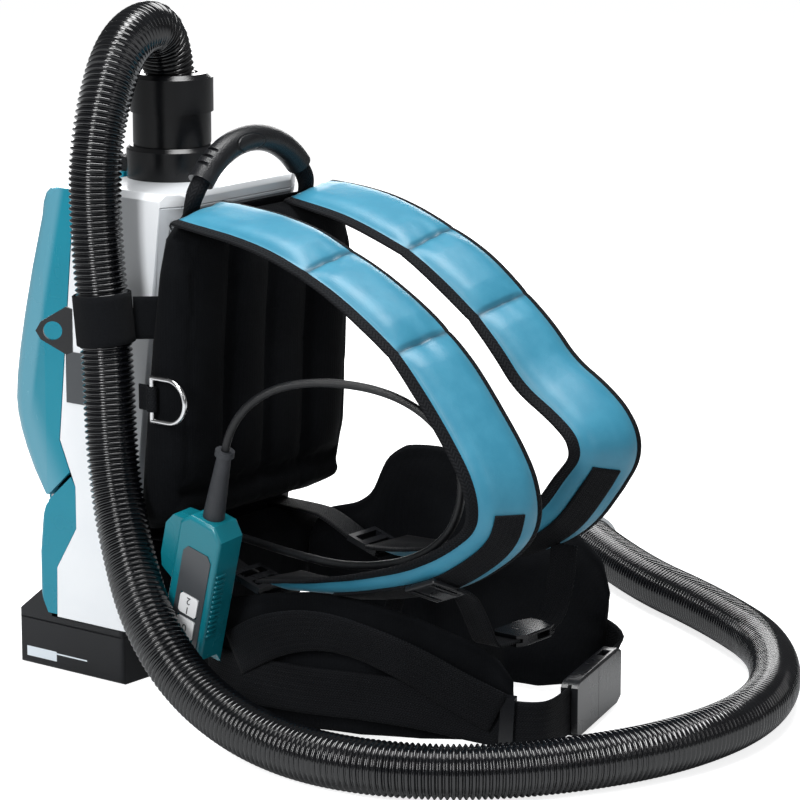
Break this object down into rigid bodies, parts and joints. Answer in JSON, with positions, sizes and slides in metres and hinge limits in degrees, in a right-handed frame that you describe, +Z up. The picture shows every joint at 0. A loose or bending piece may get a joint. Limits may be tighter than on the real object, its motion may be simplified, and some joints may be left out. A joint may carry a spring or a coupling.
{
  "type": "backpack vacuum cleaner",
  "caption": "Cordless backpack vacuum cleaner: moulded body with hinged dust cover, slide-in packs, padded harness, ribbed suction hose and wired remote.",
  "frame": {"origin": "bottom centre of the object without its hose and remote cable, on the floor that the packs stand on", "axes": "+Z up; -Y the way the wearer faces, with the harness; +Y the dust cover side; +X the wearer's left"},
  "size_m": [0.7254, 0.6315, 0.5522],
  "materials": {
    "white_shell": "semi-gloss",
    "grey_shell": "satin",
    "teal_shell": "semi-gloss",
    "black_plastic": "satin",
    "charcoal_plastic": "satin",
    "hose_plastic": "semi-gloss",
    "cuff_plastic": "satin",
    "white_key": "satin",
    "plate_grey": "matte",
    "grip_rubber": "matte",
    "cable_rubber": "matte",
    "black_fabric": "matte",
    "teal_fabric": "satin",
    "black_webbing": "matte",
    "ring_chrome": "polished",
    "steel": "brushed",
    "fan_metal": "satin",
    "bag_fabric": "matte",
    "filter_paper": "matte",
    "board_green": "satin",
    "terminal_brass": "satin"
  },
  "bodies": {
    "body": {"main_shell": "white_shell", "front_cover": "grey_shell", "base_shell": "teal_shell", "cover_hinge_pin": "steel", "rating_plate": "plate_grey", "shell_screws": "steel", "inlet_flange": "teal_shell", "hose_connector": "black_plastic", "dust_bag": "bag_fabric", "pre_filter": "filter_paper", "motor_housing": "black_plastic", "motor_stator": "steel", "controller_board": "board_green", "battery_terminals": "terminal_brass", "cable_gland": "cable_rubber", "back_frame": "black_plastic", "back_pad": "black_fabric", "lumbar_pad": "black_fabric", "handle_grip": "grip_rubber", "handle_webbing": "black_webbing", "shoulder_strap_near": "teal_fabric", "shoulder_strap_far": "teal_fabric", "ladder_locks": "black_plastic", "strap_webbings": "black_webbing", "hip_pad_near": "black_fabric", "hip_pad_far": "black_fabric", "waist_webbing_near": "black_webbing", "waist_webbing_far": "black_webbing", "webbing_keeper": "black_plastic", "buckle_female": "black_plastic", "chest_clip_female": "black_plastic", "chest_webbing": "black_webbing", "d_ring_tabs": "black_webbing", "hose": "hose_plastic", "hose_cuff": "cuff_plastic", "hose_strap": "black_webbing", "strap_plate": "black_plastic", "remote_front": "teal_shell", "remote_back": "teal_shell", "remote_face_plate": "plate_grey", "strain_relief": "cable_rubber", "remote_cable": "cable_rubber"},
    "cover": {"dust_cover": "teal_shell"},
    "latch": {"cover_latch": "black_plastic"},
    "hose_ring": {"lock_ring": "black_plastic"},
    "rotor": {"motor_shaft": "steel", "impeller": "fan_metal"},
    "pack_near": {"battery_near": "charcoal_plastic"},
    "pack_far": {"battery_far": "charcoal_plastic"},
    "pack_button_near": {"release_button_near": "black_plastic"},
    "pack_button_far": {"release_button_far": "black_plastic"},
    "power_key": {"power_button": "white_key"},
    "off_key": {"off_button": "white_key"},
    "remote_clip": {"belt_clip": "teal_shell"},
    "pad_ring": {"d_ring_pad": "ring_chrome"},
    "belt_ring": {"d_ring_belt": "ring_chrome"},
    "waist_buckle": {"buckle_male": "black_plastic"},
    "chest_clip": {"chest_clip_male": "black_plastic"}
  },
  "joints": [
    {"name": "cover_hinge", "type": "hinge", "parent": "body", "child": "cover", "pos_m": [-0.0111, 0.2042, 0.146], "axis": [-1, 0, 0], "range_deg": [0, 85]},
    {"name": "cover_latch_turn", "type": "hinge", "parent": "cover", "child": "latch", "pos_m": [-0.0111, 0.1957, 0.4123], "axis": [-1, 0, 0], "range_deg": [0, 35]},
    {"name": "lock_ring_turn", "type": "hinge", "parent": "body", "child": "hose_ring", "pos_m": [-0.0111, 0.1337, 0.461], "axis": [0, 0, 1], "range_deg": [0, 30]},
    {"name": "rotor_spin", "type": "hinge", "parent": "body", "child": "rotor", "pos_m": [-0.0111, 0.1537, 0.1], "axis": [0, 0, 1], "continuous": true},
    {"name": "pack_slide_near", "type": "slide", "parent": "body", "child": "pack_near", "axis": [0, 1, 0], "range_m": [0, 0.12]},
    {"name": "pack_slide_far", "type": "slide", "parent": "body", "child": "pack_far", "axis": [0, 1, 0], "range_m": [0, 0.12]},
    {"name": "pack_button_press_near", "type": "slide", "parent": "pack_near", "child": "pack_button_near", "axis": [0, -0.6293, -0.7771], "range_m": [0, 0.0025], "stiffness_N_per_m": 300, "springref_m": -0.003},
    {"name": "pack_button_press_far", "type": "slide", "parent": "pack_far", "child": "pack_button_far", "axis": [0, -0.6293, -0.7771], "range_m": [0, 0.0025], "stiffness_N_per_m": 300, "springref_m": -0.003},
    {"name": "power_press", "type": "slide", "parent": "body", "child": "power_key", "axis": [0.9967, -0.0051, 0.0805], "range_m": [0, 0.001], "stiffness_N_per_m": 300, "springref_m": -0.003},
    {"name": "off_press", "type": "slide", "parent": "body", "child": "off_key", "axis": [0.9967, -0.0051, 0.0805], "range_m": [0, 0.001], "stiffness_N_per_m": 300, "springref_m": -0.003},
    {"name": "belt_clip_flex", "type": "hinge", "parent": "body", "child": "remote_clip", "pos_m": [-0.11853, -0.00869, 0.15828], "axis": [0.0178, -0.9596, -0.2807], "range_deg": [0, 8], "stiffness_Nm_per_rad": 0.5, "springref_deg": -2.86},
    {"name": "pad_ring_swing", "type": "hinge", "parent": "body", "child": "pad_ring", "pos_m": [-0.126, 0.0567, 0.254], "axis": [0, 0, 1], "range_deg": [-80, 5]},
    {"name": "belt_ring_swing", "type": "hinge", "parent": "body", "child": "belt_ring", "pos_m": [-0.0571, -0.0783, 0.005], "axis": [0, -1, 0], "range_deg": [0, 90]},
    {"name": "waist_buckle_release", "type": "slide", "parent": "body", "child": "waist_buckle", "axis": [-0.9564, -0.2921, 0], "range_m": [0, 0.03]},
    {"name": "chest_clip_release", "type": "slide", "parent": "body", "child": "chest_clip", "axis": [-1, 0, 0], "range_m": [0, 0.012]}
  ]
}
